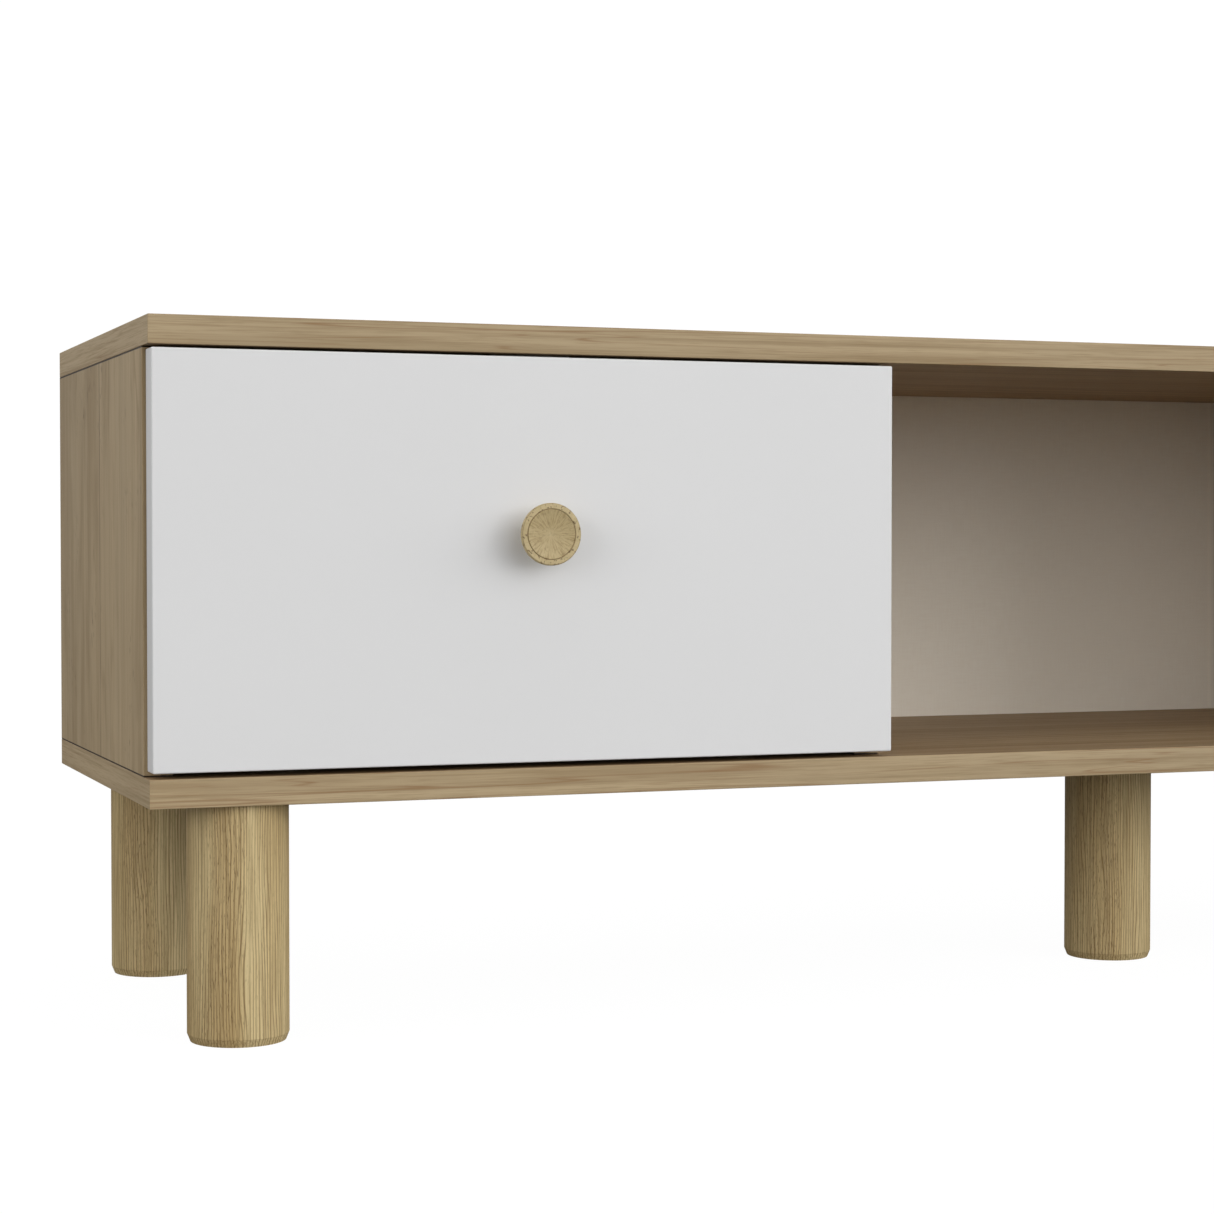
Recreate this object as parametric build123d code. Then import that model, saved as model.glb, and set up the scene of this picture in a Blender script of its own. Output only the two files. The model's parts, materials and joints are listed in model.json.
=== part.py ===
from build123d import *
import math
import os

# TV stand: a long low cabinet on round legs, with a drop-down door at each end and an open middle bay.
# Row frame: millimetres, +X right, -Y front, +Z up. The origin is at the bottom centre of the whole
# object's box, which runs from the knobs' faces to the back panel.

# ---------------------------------------------------------------- driving dimensions: carcass
width = 1500.0  # over the ends of the top panel
depth = 350.0  # front edge to rear edge of the top panel
carcass_height = 300.0  # bottom panel's underside to the top panel's upper face
middle_width = 500.0  # clear width of the open middle bay
panel = 18.0  # thickness of the carcass panels
panel_edge = 0.5  # rounding on the carcass panels' edges
back_thickness = 3.0
back_inset = 1.0  # back panel's edges inside the carcass's outline

# ---------------------------------------------------------------- driving dimensions: legs
leg_radius = 32.0
leg_height = 150.0
leg_chamfer_in = 2.0  # chamfer at the foot, across
leg_chamfer_up = 5.0  # chamfer at the foot, upwards
leg_from_end = 62.0  # corner leg's axis from the end of the carcass
leg_from_face = 37.0  # corner leg's axis from the front or rear edge
centre_leg_from_front = 134.0
hanger_radius = 4.0
hanger_in_leg = 25.0
insert_radius = 6.0
insert_height = 12.0

# ---------------------------------------------------------------- driving dimensions: doors and knobs
door_thickness = 18.0
door_gap_top = 2.0
door_gap_bottom = 3.5
door_gap_end = 2.0  # door's outer edge from the end of the carcass
door_gap_behind = 2.0  # door's inner face to the uprights' front edges
door_edge = 1.0  # rounding on the door's edges
knob_radius = 19.8
knob_projection = 20.0
knob_rise = 16.3  # knob's centre above the door's mid-height
knob_rim = 3.6  # height of the knob's rim
knob_rim_ease = 0.9  # rounding on the rim's two edges
knob_neck_radius = 9.0
knob_neck_height = 5.0
knob_flare_out = 0.26  # the flare's curve passes this share of the way out
knob_flare_up = 0.62  # at this share of the way up
knob_groove_radius = 16.0
knob_groove_section = 0.5  # radius of the groove's section
knob_dish_depth = 2.0
knob_screw_radius = 2.0
knob_screw_grip = 8.0  # how far the screw goes into the knob
knob_screw_head_height = 2.4

# ---------------------------------------------------------------- driving dimensions: hinges
hinge_from_edge = 90.0  # hinge's centre from the door's side edge
axis_from_face = 6.5  # hinge axis behind the door's front face
axis_from_edge = 6.0  # hinge axis above the door's lower edge
pin_radius = 1.5
arm_nose_radius = 3.0
arm_half_width = 4.0
arm_half_height = 2.5
arm_length = 76.0  # hinge axis to the arm's rear end
cup_radius = 17.5
cup_depth = 12.0
cup_wall = 1.2
cup_rise = 15.5  # cup's centre above the hinge axis
flange_length = 58.0
flange_height = 20.0
flange_rise = 5.0  # flange's centre above the cup's centre
flange_screw_out = 22.5
flange_screw_rise = 9.5
flange_corner = 4.0
ear_thickness = 2.0
ear_depth = 14.0
plate_length = 44.0
plate_half_width = 7.0
plate_wing_out = 25.0
plate_wing_width = 14.0
plate_wing_thickness = 2.5
plate_screw_out = 17.0
plate_setback = 20.0  # mounting plate behind the uprights' front edges
arm_screw_radius = 2.0
arm_screw_head = 3.6
arm_screw_head_height = 1.8
arm_screw_reach = 3.0  # how far it goes into the plate

# ---------------------------------------------------------------- driving dimensions: stays
stay_pin_out = 12.0  # door pin behind the door's inner face
stay_pin_up = 85.0  # door pin above the hinge axis
stay_wall_angle = 45.0  # direction of the wall pin as seen from the hinge axis, degrees above level
door_travel = 90.0  # degrees
stay_half_width = 7.0
stay_thickness = 2.0
stay_door_pin_radius = 2.0
stay_wall_pin_radius = 2.5
stay_head_radius = 4.5
stay_head_thickness = 2.0
stay_slot_clearance = 0.2
stay_rivet_head_radius = 3.4
stay_rivet_head_height = 1.0
sheet_metal = 2.0  # thickness of both stay brackets
standoff = 3.0  # wall pin's shoulder
wall_bracket_height = 44.0
wall_bracket_width = 18.0
wall_screw_up = 15.0
wall_bracket_corner = 5.0
door_bracket_height = 32.0
door_bracket_width = 20.0
door_bracket_ear = 16.0
door_bracket_screw_up = 10.0
door_bracket_corner = 3.0

# ---------------------------------------------------------------- driving dimensions: catch and bumpers
catch_length = 30.0
catch_depth = 14.0
catch_height = 13.0
catch_ear_length = 12.0
catch_ear_thickness = 3.0
catch_ear_inset = 1.0  # ears inside the housing's front and rear
catch_ear_corner = 3.0
catch_gap = 0.6  # strike plate to magnet
magnet_length = 22.0
magnet_height = 7.0
magnet_depth = 10.0
strike_overhang = 8.0  # strike plate beyond each end of the catch
strike_height = 13.0
strike_thickness = 1.2
strike_drop = 1.5  # strike plate's top edge below the door's top edge
strike_corner = 2.0
bumper_radius = 4.0
bumper_drop = 12.0  # bumper's centre below the door's top edge
bumper_clearance = 0.3

# ---------------------------------------------------------------- driving dimensions: fasteners and fits
screw_radius = 1.75
screw_length = 12.0
screw_head_radius = 3.2
screw_head_height = 1.8
screw_head_ease = 0.7  # rounding on the head's upper edge
drive_width = 0.8  # slots and crosses in the screws' heads
drive_depth = 0.8
nail_radius = 0.8
nail_head_radius = 2.2
nail_head_height = 0.6
nail_length = 18.0
nail_pitch = 145.0
cam_radius = 7.5
cam_depth = 12.5
cam_setback = 34.0  # cam's centre from the end of the upright
cam_from_edge = 70.0  # cams from the upright's front and rear edges
cam_bolt_radius = 3.0
cam_bolt_head = 3.5
cam_bolt_head_half = 2.0  # half of the head's height, about the cam's centre
cam_thread_radius = 2.5
cam_thread_depth = 10.5
cam_channel_radius = 4.0
cam_channel_beyond = 3.0  # channel's end beyond the cam's centre
cam_drive_span = 8.0
cam_drive_width = 1.5
cam_drive_depth = 1.5
dowel_radius = 4.0
dowel_length = 30.0
dowel_in_panel = 10.0
dowel_from_edge = 38.0
fit = 0.1  # clearance around fixed pieces in their holes
run = 0.3  # gap between pieces that move past each other
bearing = 0.05  # clearance around a turning pin
past = 2.0  # how far a cut runs past the face it opens

# ---------------------------------------------------------------- levels worked out from them
x_end = width / 2
x_wall = x_end - panel  # inner face of a side panel
x_bay = middle_width / 2  # a divider's face towards the middle bay
y_front = -(depth + back_thickness - knob_projection) / 2
y_rear = y_front + depth
y_inner = y_front + door_thickness  # inner face of a closed door
y_upright = y_inner + door_gap_behind
z_bottom = leg_height
z_floor = z_bottom + panel  # upper face of the bottom panel
z_top = z_bottom + carcass_height
z_ceiling = z_top - panel  # underside of the top panel
door_x0 = -x_end + door_gap_end
door_x1 = -x_bay
door_z0 = z_floor + door_gap_bottom
door_z1 = z_ceiling - door_gap_top
door_x = (door_x0 + door_x1) / 2
knob_z = (door_z0 + door_z1) / 2 + knob_rise
axis_y = y_front + axis_from_face
axis_z = door_z0 + axis_from_edge
hinge_xs = [door_x0 + hinge_from_edge, door_x1 - hinge_from_edge]

# The stay's two pins lie on one circle about the hinge axis, so the arm turns half as far as the door.
stay_pin_y = y_inner + stay_pin_out
stay_pin_z = axis_z + stay_pin_up
stay_circle = math.hypot(stay_pin_y - axis_y, stay_pin_up)
stay_door_angle = math.degrees(math.atan2(stay_pin_up, stay_pin_y - axis_y))
wall_pin_y = axis_y + stay_circle * math.cos(math.radians(stay_wall_angle))
wall_pin_z = axis_z + stay_circle * math.sin(math.radians(stay_wall_angle))


def chord(angle):
    """Distance between the stay's pins when they stand this many degrees apart about the hinge axis."""
    return 2 * stay_circle * math.sin(math.radians(angle) / 2)


stay_closed = chord(stay_door_angle - stay_wall_angle)
stay_open = chord(stay_door_angle - stay_wall_angle + door_travel)
stay_slope = math.degrees(math.atan2(wall_pin_z - stay_pin_z, wall_pin_y - stay_pin_y))


# ---------------------------------------------------------------- simple shapes
def block(x0, x1, y0, y1, z0, z1):
    """A box between two corners."""
    centre = ((x0 + x1) / 2, (y0 + y1) / 2, (z0 + z1) / 2)
    return Pos(*centre) * Box(abs(x1 - x0), abs(y1 - y0), abs(z1 - z0))


def board(x0, x1, y0, y1, z0, z1, rounding):
    """A box with every edge rounded."""
    plain = block(x0, x1, y0, y1, z0, z1)
    return fillet(plain.edges(), rounding)


def facing(x, y, z, direction):
    """A place whose local +Z points along the direction."""
    return Plane(origin=(x, y, z), z_dir=direction).location


def bar(radius, z0, z1):
    """A round bar along local Z."""
    return Pos(0, 0, (z0 + z1) / 2) * Cylinder(radius, z1 - z0)


def group(solids):
    """Several separate solids as one node."""
    return Compound([solid for shape in solids for solid in shape.solids()])


def mirrored(shape):
    """The same piece at the other end of the stand."""
    return mirror(shape, about=Plane.YZ)


# ---------------------------------------------------------------- fasteners
def cross_drive(span, width, depth):
    """Cross-shaped recess, down from local Z = 0."""
    return Box(span, width, 2 * depth) + Box(width, span, 2 * depth)


def wood_screw():
    """Pan-head wood screw: its head sits on local Z = 0 and its point is downwards."""
    tip = 2 * screw_radius
    shank = bar(screw_radius, tip - screw_length, screw_head_height / 2)
    point = Pos(0, 0, tip / 2 - screw_length) * Cone(screw_radius / 4, screw_radius, tip)
    head = bar(screw_head_radius, 0, screw_head_height)
    head = fillet(head.edges().group_by(Axis.Z)[-1], screw_head_ease)
    drive = Pos(0, 0, screw_head_height) * cross_drive(screw_head_radius, drive_width, drive_depth)
    return head + shank + point - drive


def screw_hole():
    """Hole for a wood screw, from local Z = 0 down."""
    return bar(screw_radius + fit, -screw_length - fit, 0)


def plate_hole(thickness):
    """Clearance hole through a plate under a screw's head, from the head's seat down."""
    return bar(screw_radius + 2 * fit, -2 * thickness, thickness)


# ---------------------------------------------------------------- joints between uprights and panels
class Joint:
    """Fittings where an upright ends on the top or bottom panel. rise is +1 above the bottom panel and
    -1 below the top panel; face is the side in X on which the cams open."""

    def __init__(self, x, z, rise, face):
        self.x = x
        self.z = z
        self.rise = rise
        self.face = face
        y_span = (y_upright, y_rear)
        self.cam_ys = [y_span[0] + cam_from_edge, y_span[1] - cam_from_edge]
        self.dowel_ys = [y_span[0] + dowel_from_edge, y_span[1] - dowel_from_edge]

    def along(self, y):
        """Place on the joint with local +Z into the upright."""
        return facing(self.x, y, self.z, (0, 0, self.rise))

    def cam_place(self, y):
        """Place at the cam's open face, with local +Z out of the panel."""
        x_face = self.x + self.face * panel / 2
        return facing(x_face, y, self.z + self.rise * cam_setback, (self.face, 0, 0))

    def dowels(self):
        return [self.along(y) * bar(dowel_radius, -dowel_in_panel, dowel_length - dowel_in_panel)
                for y in self.dowel_ys]

    def bolts(self):
        thread = bar(cam_thread_radius, -cam_thread_depth, 0)
        shank = bar(cam_bolt_radius, 0, cam_setback - cam_bolt_head_half)
        head = bar(cam_bolt_head, cam_setback - cam_bolt_head_half, cam_setback + cam_bolt_head_half)
        return [self.along(y) * (thread + shank + head) for y in self.cam_ys]

    def channels(self):
        channel = bar(cam_channel_radius, -fit, cam_setback + cam_channel_beyond)
        return [self.along(y) * channel for y in self.cam_ys]

    def cams(self):
        body = bar(cam_radius, -cam_depth, 0)
        cross = cross_drive(cam_drive_span, cam_drive_width, cam_drive_depth)
        return [self.cam_place(y) * (body - cross) - channel
                for y, channel in zip(self.cam_ys, self.channels())]

    def upright_cuts(self):
        dowel_hole = bar(dowel_radius + fit, -fit, dowel_length - dowel_in_panel + fit)
        cam_hole = bar(cam_radius + fit, -cam_depth - fit, fit)
        return ([self.along(y) * dowel_hole for y in self.dowel_ys]
                + [self.cam_place(y) * cam_hole for y in self.cam_ys] + self.channels())

    def panel_cuts(self):
        dowel_hole = bar(dowel_radius + fit, -dowel_in_panel - fit, fit)
        thread_hole = bar(cam_thread_radius + fit, -cam_thread_depth - fit, fit)
        return ([self.along(y) * dowel_hole for y in self.dowel_ys]
                + [self.along(y) * thread_hole for y in self.cam_ys])


x_side = x_end - panel / 2
x_divider = x_bay + panel / 2
left_side_joints = [Joint(-x_side, z_floor, 1, 1), Joint(-x_side, z_ceiling, -1, 1)]
left_divider_joints = [Joint(-x_divider, z_floor, 1, -1), Joint(-x_divider, z_ceiling, -1, -1)]
right_side_joints = [Joint(x_side, z_floor, 1, -1), Joint(x_side, z_ceiling, -1, -1)]
right_divider_joints = [Joint(x_divider, z_floor, 1, 1), Joint(x_divider, z_ceiling, -1, 1)]
joints = left_side_joints + left_divider_joints + right_side_joints + right_divider_joints


# ---------------------------------------------------------------- legs
leg_places = {
    "front_left": (-x_end + leg_from_end, y_front + leg_from_face),
    "front_right": (x_end - leg_from_end, y_front + leg_from_face),
    "back_left": (-x_end + leg_from_end, y_rear - leg_from_face),
    "back_right": (x_end - leg_from_end, y_rear - leg_from_face),
    "centre": (0, y_front + centre_leg_from_front),
}


def leg(x, y):
    """Turned leg with a chamfered foot and a hole for its hanger bolt."""
    foot = Pos(0, 0, leg_chamfer_up / 2) * Cone(leg_radius - leg_chamfer_in, leg_radius, leg_chamfer_up)
    shaft = bar(leg_radius, leg_chamfer_up, leg_height)
    hole = bar(hanger_radius + fit, leg_height - hanger_in_leg - fit, leg_height + fit)
    return Pos(x, y, 0) * (foot + shaft - hole)


def hanger_bolt(x, y):
    return Pos(x, y, leg_height) * bar(hanger_radius, -hanger_in_leg, insert_height)


def leg_insert(x, y):
    sleeve = bar(insert_radius, 0, insert_height) - bar(hanger_radius + fit, -fit, insert_height + fit)
    return Pos(x, y, leg_height) * sleeve


def leg_insert_hole(x, y):
    return Pos(x, y, leg_height) * bar(insert_radius + fit, -fit, insert_height + fit)


# ---------------------------------------------------------------- back panel and its nails
def nail_points():
    """Nails along the top and bottom edges, and one in the middle of each upright."""
    points = []
    count = int((width - panel) // nail_pitch) + 1
    pitch = (width - panel) / (count - 1)
    for i in range(count):
        x = -x_side + i * pitch
        points.append((x, z_bottom + panel / 2))
        points.append((x, z_top - panel / 2))
    for x in (-x_side, -x_divider, x_divider, x_side):
        points.append((x, (z_bottom + z_top) / 2))
    return points


def nail(x, z):
    place = facing(x, y_rear + back_thickness, z, (0, 1, 0))
    return place * (bar(nail_head_radius, -nail_head_height, 0) + bar(nail_radius, -nail_length, 0))


def nail_hole(x, z):
    place = facing(x, y_rear + back_thickness, z, (0, 1, 0))
    head = bar(nail_head_radius + fit, -nail_head_height - fit / 2, fit)
    return place * (head + bar(nail_radius + fit, -nail_length - fit, 0))


# ---------------------------------------------------------------- hinges
def hinge_arm(x):
    """Arm from the hinge pin to the mounting plate, with a bearing in its nose."""
    nose = facing(x, axis_y, axis_z, (1, 0, 0)) * bar(arm_nose_radius, -arm_half_width, arm_half_width)
    beam = block(x - arm_half_width, x + arm_half_width, axis_y, axis_y + arm_length,
                 axis_z - arm_half_height, axis_z + arm_half_height)
    bore_half = arm_half_width + past
    bore = facing(x, axis_y, axis_z, (1, 0, 0)) * bar(pin_radius + bearing, -bore_half, bore_half)
    screw_bore = arm_screw_place(x) * bar(arm_screw_radius + fit, -2 * arm_half_height - past, past)
    return nose + beam - bore - screw_bore


def arm_screw_place(x):
    """Seat of the screw that clamps the arm to its plate."""
    y = y_upright + plate_setback + plate_length / 2
    return facing(x, y, axis_z + arm_half_height, (0, 0, 1))


def arm_screw(x):
    shank = bar(arm_screw_radius, -2 * arm_half_height - arm_screw_reach, 0)
    slot = Pos(0, 0, arm_screw_head_height) * Box(2 * arm_screw_head, drive_width, 2 * drive_depth)
    return arm_screw_place(x) * (shank + bar(arm_screw_head, 0, arm_screw_head_height) - slot)


def hinge_plate(x):
    """Cross-shaped mounting plate on the bottom panel."""
    y0 = y_upright + plate_setback
    ym = y0 + plate_length / 2
    ridge = block(x - plate_half_width, x + plate_half_width, y0, y0 + plate_length,
                  z_floor, axis_z - arm_half_height)
    half_wing = plate_wing_width / 2
    wings = block(x - plate_wing_out, x + plate_wing_out, ym - half_wing, ym + half_wing,
                  z_floor, z_floor + plate_wing_thickness)
    holes = [place * plate_hole(plate_wing_thickness) for place in plate_screw_places(x)]
    socket_depth = 2 * arm_half_height + arm_screw_reach + fit
    socket = arm_screw_place(x) * bar(arm_screw_radius + fit, -socket_depth, 0)
    return ridge + wings - holes - socket


def plate_screw_places(x):
    ym = y_upright + plate_setback + plate_length / 2
    return [facing(x + side * plate_screw_out, ym, z_floor + plate_wing_thickness, (0, 0, 1))
            for side in (-1, 1)]


def hinge_slot(x, half_width, y0):
    """Space that the arm's nose sweeps as the door turns, open below and behind."""
    return block(x - half_width, x + half_width, y0, y_inner + past,
                 door_z0 - past, axis_z + arm_nose_radius + run)


def cup_place(x):
    return facing(x, y_inner, axis_z + cup_rise, (0, 1, 0))


def hinge_cup(x):
    """Pressed cup in the door's inner face, its flange, and two ears that carry the hinge pin."""
    mouth_radius = cup_radius - cup_wall
    shell = bar(cup_radius, -cup_depth, 0) - bar(mouth_radius, cup_wall - cup_depth, past)
    flange_z = axis_z + cup_rise + flange_rise
    flange = block(x - flange_length / 2, x + flange_length / 2, y_inner, y_inner + cup_wall,
                   flange_z - flange_height / 2, flange_z + flange_height / 2)
    flange = fillet(flange.edges().filter_by(Axis.Y), flange_corner)
    mouth = cup_place(x) * bar(mouth_radius, -past, past)
    ears = []
    for side in (-1, 1):
        inner = x + side * (arm_half_width + run)
        outer = inner + side * ear_thickness
        ears.append(block(inner, outer, axis_y - arm_nose_radius, axis_y - arm_nose_radius + ear_depth,
                          axis_z - arm_nose_radius, axis_z + arm_nose_radius + run))
    bore_half = arm_half_width + run + ear_thickness + past
    bore = facing(x, axis_y, axis_z, (1, 0, 0)) * bar(pin_radius + fit / 4, -bore_half, bore_half)
    holes = [place * plate_hole(cup_wall) for place in flange_screw_places(x)]
    body = cup_place(x) * shell + (flange - mouth)
    body = body - hinge_slot(x, arm_half_width + run, axis_y - arm_nose_radius - run)
    return body + ears - bore - holes


def flange_screw_places(x):
    z = axis_z + cup_rise + flange_screw_rise
    return [facing(x + side * flange_screw_out, y_inner + cup_wall, z, (0, 1, 0)) for side in (-1, 1)]


def hinge_pin(x):
    half = arm_half_width + run + ear_thickness
    return facing(x, axis_y, axis_z, (1, 0, 0)) * bar(pin_radius, -half, half)


def hinge_pocket(x):
    """Cup hole and nose slot in the door."""
    cup = cup_place(x) * bar(cup_radius + fit, -cup_depth - fit, fit)
    slot = hinge_slot(x, arm_half_width + run + ear_thickness + fit, axis_y - arm_nose_radius - run)
    return cup + slot


# ---------------------------------------------------------------- stay, at the left end
stay_wall_x = -x_wall  # inner face of the side panel
stay_arm_x = stay_wall_x + sheet_metal + standoff + run
stay_ear_x = stay_arm_x + stay_thickness + run


def stay_arm():
    """Flat arm that turns on the door pin and slides over the wall pin in a long slot."""
    slot_start = stay_closed - stay_wall_pin_radius - stay_slot_clearance
    slot_end = stay_open + stay_wall_pin_radius + stay_slot_clearance
    tail = slot_end + stay_half_width / 2
    outline = Pos(tail / 2, 0) * Rectangle(tail, 2 * stay_half_width) + Circle(stay_half_width)
    outline = outline + Pos(tail, 0) * Circle(stay_half_width)
    slot_half = stay_wall_pin_radius + stay_slot_clearance
    slot = Pos((slot_start + slot_end) / 2, 0) * SlotOverall(slot_end - slot_start, 2 * slot_half)
    flat = outline - slot - Circle(stay_door_pin_radius + bearing)
    slope = math.radians(stay_slope)
    along = (0, math.cos(slope), math.sin(slope))
    plane = Plane(origin=(stay_arm_x, stay_pin_y, stay_pin_z), x_dir=along, z_dir=(1, 0, 0))
    return plane.location * extrude(flat, stay_thickness)


def door_pin_place():
    return facing(stay_arm_x, stay_pin_y, stay_pin_z, (1, 0, 0))


def stay_door_pin():
    """Rivet through the arm and the door bracket's ear."""
    ear_end = 2 * stay_thickness + run
    first_head = bar(stay_rivet_head_radius, -run - stay_rivet_head_height, -run)
    last_head = bar(stay_rivet_head_radius, ear_end, ear_end + stay_rivet_head_height)
    return door_pin_place() * (first_head + bar(stay_door_pin_radius, -run, ear_end) + last_head)


def stay_door_bracket():
    """Angle bracket on the door's inner face."""
    base = block(stay_ear_x, stay_ear_x + door_bracket_width, y_inner, y_inner + sheet_metal,
                 stay_pin_z - door_bracket_height / 2, stay_pin_z + door_bracket_height / 2)
    base = fillet(base.edges().filter_by(Axis.Y).group_by(Axis.X)[-1], door_bracket_corner)
    ear_half = door_bracket_ear / 2
    ear = block(stay_ear_x, stay_ear_x + stay_thickness, y_inner, stay_pin_y,
                stay_pin_z - ear_half, stay_pin_z + ear_half)
    nose = Pos(0, 0, stay_ear_x - stay_arm_x) * bar(ear_half, 0, stay_thickness)
    bore = bar(stay_door_pin_radius + fit / 4, 0, 3 * stay_thickness)
    holes = [place * plate_hole(sheet_metal) for place in door_bracket_screw_places()]
    return base + ear + door_pin_place() * nose - door_pin_place() * bore - holes


def door_bracket_screw_places():
    x = stay_ear_x + (door_bracket_width + stay_thickness) / 2
    return [facing(x, y_inner + sheet_metal, stay_pin_z + side * door_bracket_screw_up, (0, 1, 0))
            for side in (-1, 1)]


def wall_pin_place():
    return facing(stay_wall_x, wall_pin_y, wall_pin_z, (1, 0, 0))


def stay_wall_pin():
    """Shouldered rivet that the arm's slot slides over."""
    arm_end = sheet_metal + standoff + 2 * run + stay_thickness
    return wall_pin_place() * (bar(stay_wall_pin_radius, 0, arm_end)
                               + bar(stay_head_radius, sheet_metal, sheet_metal + standoff)
                               + bar(stay_head_radius, arm_end, arm_end + stay_head_thickness))


def stay_wall_bracket():
    half_y = wall_bracket_width / 2
    half_z = wall_bracket_height / 2
    plate = block(stay_wall_x, stay_wall_x + sheet_metal, wall_pin_y - half_y, wall_pin_y + half_y,
                  wall_pin_z - half_z, wall_pin_z + half_z)
    plate = fillet(plate.edges().filter_by(Axis.X), wall_bracket_corner)
    hole = wall_pin_place() * bar(stay_wall_pin_radius + fit / 4, -past, sheet_metal + past)
    return plate - hole - [place * plate_hole(sheet_metal) for place in wall_bracket_screw_places()]


def wall_bracket_screw_places():
    return [facing(stay_wall_x + sheet_metal, wall_pin_y, wall_pin_z + side * wall_screw_up, (1, 0, 0))
            for side in (-1, 1)]


# ---------------------------------------------------------------- catch at the middle of the door's top
catch_y0 = y_inner + strike_thickness + catch_gap
catch_screw_out = (catch_length + catch_ear_length) / 2
strike_screw_out = catch_length / 2 + screw_head_radius + 3 * run


def catch_body():
    """Plastic housing under the top panel, with an ear at each end and a pocket for the magnet."""
    shell = block(door_x - catch_length / 2, door_x + catch_length / 2, catch_y0, catch_y0 + catch_depth,
                  z_ceiling - catch_height, z_ceiling)
    reach = catch_length / 2 + catch_ear_length
    ears = block(door_x - reach, door_x + reach,
                 catch_y0 + catch_ear_inset, catch_y0 + catch_depth - catch_ear_inset,
                 z_ceiling - catch_ear_thickness, z_ceiling)
    ears = fillet(ears.edges().filter_by(Axis.Z), catch_ear_corner)
    pocket = catch_magnet_block(fit, fit)
    holes = [place * plate_hole(catch_ear_thickness) for place in catch_screw_places()]
    return shell + ears - pocket - holes


def catch_magnet_block(grow, front):
    zm = z_ceiling - catch_ear_thickness - (catch_height - catch_ear_thickness) / 2
    return block(door_x - magnet_length / 2 - grow, door_x + magnet_length / 2 + grow,
                 catch_y0 - front, catch_y0 + magnet_depth + grow,
                 zm - magnet_height / 2 - grow, zm + magnet_height / 2 + grow)


def catch_screw_places():
    y = catch_y0 + catch_depth / 2
    return [facing(door_x + side * catch_screw_out, y, z_ceiling - catch_ear_thickness, (0, 0, -1))
            for side in (-1, 1)]


def strike_plate():
    z1 = door_z1 - strike_drop
    reach = catch_length / 2 + strike_overhang
    plate = block(door_x - reach, door_x + reach, y_inner, y_inner + strike_thickness,
                  z1 - strike_height, z1)
    plate = fillet(plate.edges().filter_by(Axis.Y), strike_corner)
    return plate - [place * plate_hole(strike_thickness) for place in strike_screw_places()]


def strike_screw_places():
    z = door_z1 - strike_drop - strike_height / 2
    y = y_inner + strike_thickness
    return [facing(door_x + side * strike_screw_out, y, z, (0, 1, 0)) for side in (-1, 1)]


def bumpers():
    """Rubber dots that meet the uprights' front edges."""
    xs = [door_x0 + (panel - door_gap_end) / 2, door_x1 - panel / 2]
    height = door_gap_behind - bumper_clearance
    return [facing(x, y_inner, door_z1 - bumper_drop, (0, 1, 0)) * bar(bumper_radius, 0, height)
            for x in xs]


# ---------------------------------------------------------------- knob and door
def knob():
    """Turned knob: a flared neck, a thin rim, and a dished face inside a narrow groove."""
    rim_foot = knob_projection - knob_rim
    flare_start = (knob_neck_radius, knob_neck_height)
    flare_end = (knob_radius, rim_foot)
    flare_mid = (knob_neck_radius + knob_flare_out * (knob_radius - knob_neck_radius),
                 knob_neck_height + knob_flare_up * (rim_foot - knob_neck_height))
    profile = [
        Line((0, 0), (knob_neck_radius, 0)),
        Line((knob_neck_radius, 0), flare_start),
        ThreePointArc(flare_start, flare_mid, flare_end),
        Line(flare_end, (knob_radius, knob_projection)),
        Line((knob_radius, knob_projection), (0, knob_projection)),
        Line((0, knob_projection), (0, 0)),
    ]
    turned = Rot(90, 0, 0) * revolve(make_face(profile), Axis.Y, 360)
    rim = turned.edges().filter_by(GeomType.CIRCLE).group_by(SortBy.RADIUS)[-1]
    turned = fillet(rim, knob_rim_ease)
    dish_radius = knob_groove_radius - knob_groove_section
    ball = (dish_radius ** 2 + knob_dish_depth ** 2) / (2 * knob_dish_depth)
    dish = Pos(0, 0, knob_projection - knob_dish_depth + ball) * Sphere(ball)
    groove = Pos(0, 0, knob_projection) * Torus(knob_groove_radius, knob_groove_section)
    place = facing(door_x, y_front, knob_z, (0, -1, 0))
    return place * (turned - dish - groove - bar(knob_screw_radius + fit, -fit, knob_screw_grip + fit))


def knob_screw():
    """Machine screw from the door's inner face into the knob."""
    place = facing(door_x, y_inner, knob_z, (0, 1, 0))
    head_radius = 2 * knob_screw_radius
    head = bar(head_radius, 0, knob_screw_head_height)
    drive = Pos(0, 0, knob_screw_head_height) * cross_drive(head_radius, drive_width, drive_depth)
    return place * (head - drive + bar(knob_screw_radius, -door_thickness - knob_screw_grip, 0))


def door_screw_places():
    flange = [place for x in hinge_xs for place in flange_screw_places(x)]
    return flange + door_bracket_screw_places() + strike_screw_places()


def door_panel():
    """Drop-down door with its hinge pockets, screw holes and knob hole."""
    blank = board(door_x0, door_x1, y_front, y_inner, door_z0, door_z1, door_edge)
    knob_place = facing(door_x, y_inner, knob_z, (0, 1, 0))
    knob_hole = knob_place * bar(knob_screw_radius + fit, -door_thickness - past, past)
    pockets = [hinge_pocket(x) for x in hinge_xs]
    return blank - pockets - knob_hole - [place * screw_hole() for place in door_screw_places()]


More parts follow.
